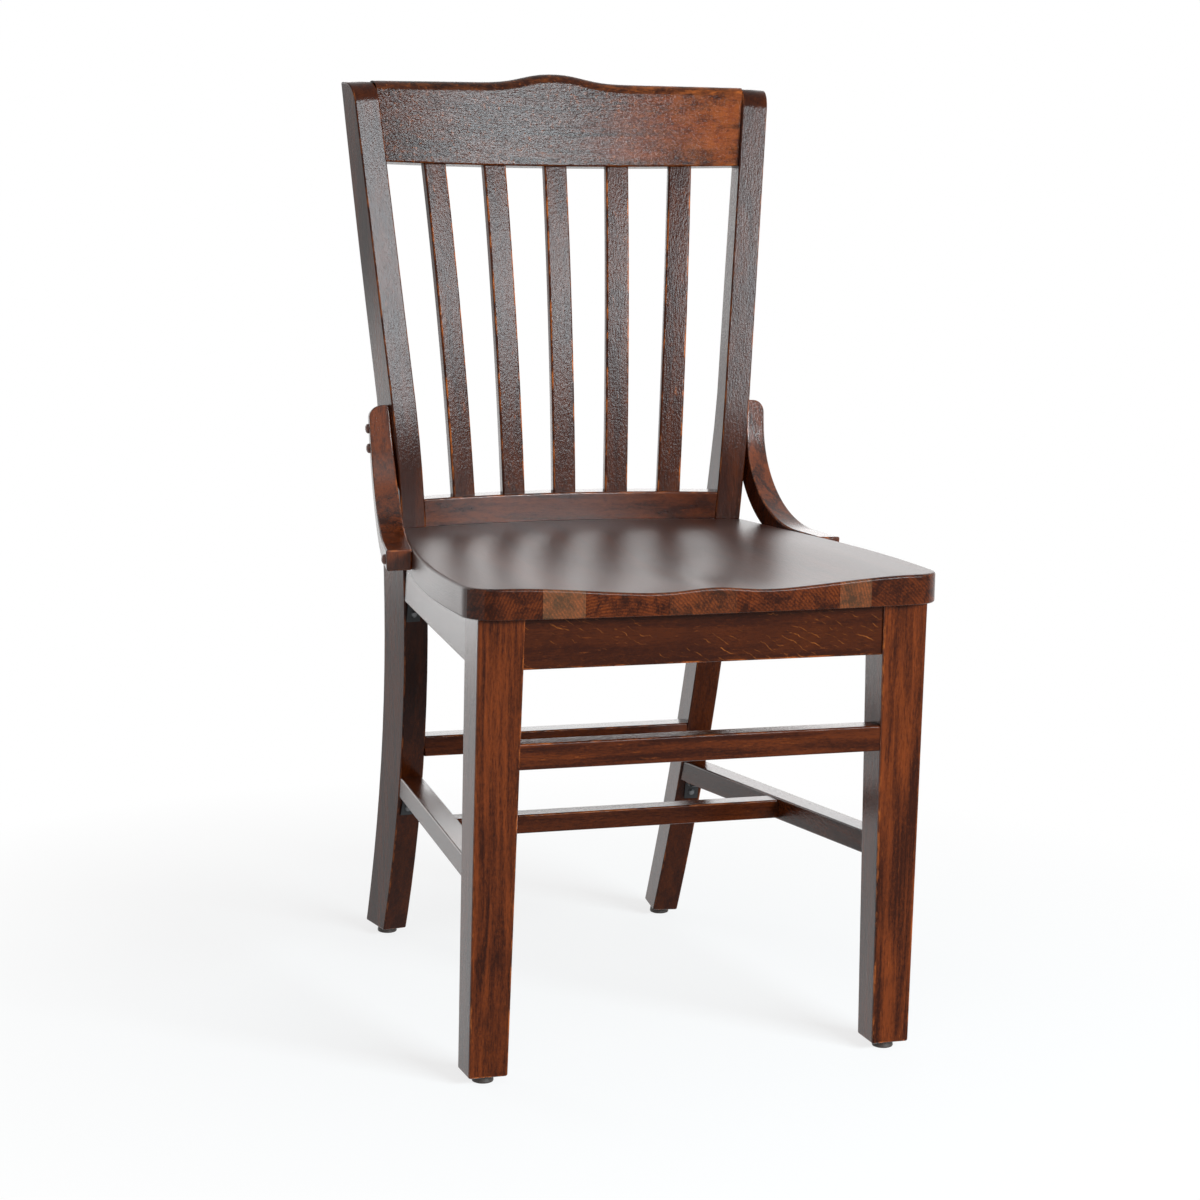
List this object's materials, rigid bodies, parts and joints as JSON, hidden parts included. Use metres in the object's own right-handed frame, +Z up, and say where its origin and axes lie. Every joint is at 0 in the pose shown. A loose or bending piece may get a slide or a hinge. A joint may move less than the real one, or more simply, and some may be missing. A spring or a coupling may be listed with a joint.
{
  "type": "schoolhouse chair",
  "caption": "Schoolhouse dining chair in dark stained wood, with a saddled seat, a slatted back under a humped crest rail, curved hip brackets and an H stretcher.",
  "frame": {"origin": "centre of the bounding box in plan, on the floor under the glides", "axes": "+Z up, +X to the right as seen from the front, the chair's front faces -Y"},
  "size_m": [0.4672, 0.5461, 0.889],
  "materials": {
    "stained_wood": "dark walnut stain under a glossy lacquer",
    "bracket_wood": "bentwood, dark walnut stain under a glossy lacquer",
    "screw_head": "dark brown paint, semi-gloss",
    "black_metal": "black, semi-gloss",
    "bare_wood": "unfinished birch",
    "glide_plastic": "dark brown moulded plastic",
    "bare_steel": "bright zinc-plated steel"
  },
  "bodies": {
    "root": {"seat": "stained_wood", "left_front_leg": "stained_wood", "right_front_leg": "stained_wood", "left_back_post": "stained_wood", "right_back_post": "stained_wood", "crest_rail": "stained_wood", "lower_back_rail": "stained_wood", "slat_1": "stained_wood", "slat_2": "stained_wood", "slat_3": "stained_wood", "slat_4": "stained_wood", "slat_5": "stained_wood", "front_apron": "stained_wood", "back_apron": "stained_wood", "left_apron": "stained_wood", "right_apron": "stained_wood", "front_stretcher": "stained_wood", "back_stretcher": "stained_wood", "left_stretcher": "stained_wood", "right_stretcher": "stained_wood", "cross_stretcher": "stained_wood", "left_hip_bracket": "bracket_wood", "right_hip_bracket": "bracket_wood", "hip_bracket_screws": "screw_head", "corner_blocks": "bare_wood", "corner_block_screws": "bare_steel", "seat_screws": "bare_steel", "apron_angles": "black_metal", "stretcher_angles": "black_metal", "angle_screws": "black_metal", "apron_dowels": "bare_wood", "stretcher_dowels": "bare_wood", "back_rail_dowels": "bare_wood", "glide_front_left": "glide_plastic", "glide_front_right": "glide_plastic", "glide_back_left": "glide_plastic", "glide_back_right": "glide_plastic", "glide_nails": "bare_steel"}
  },
  "joints": []
}
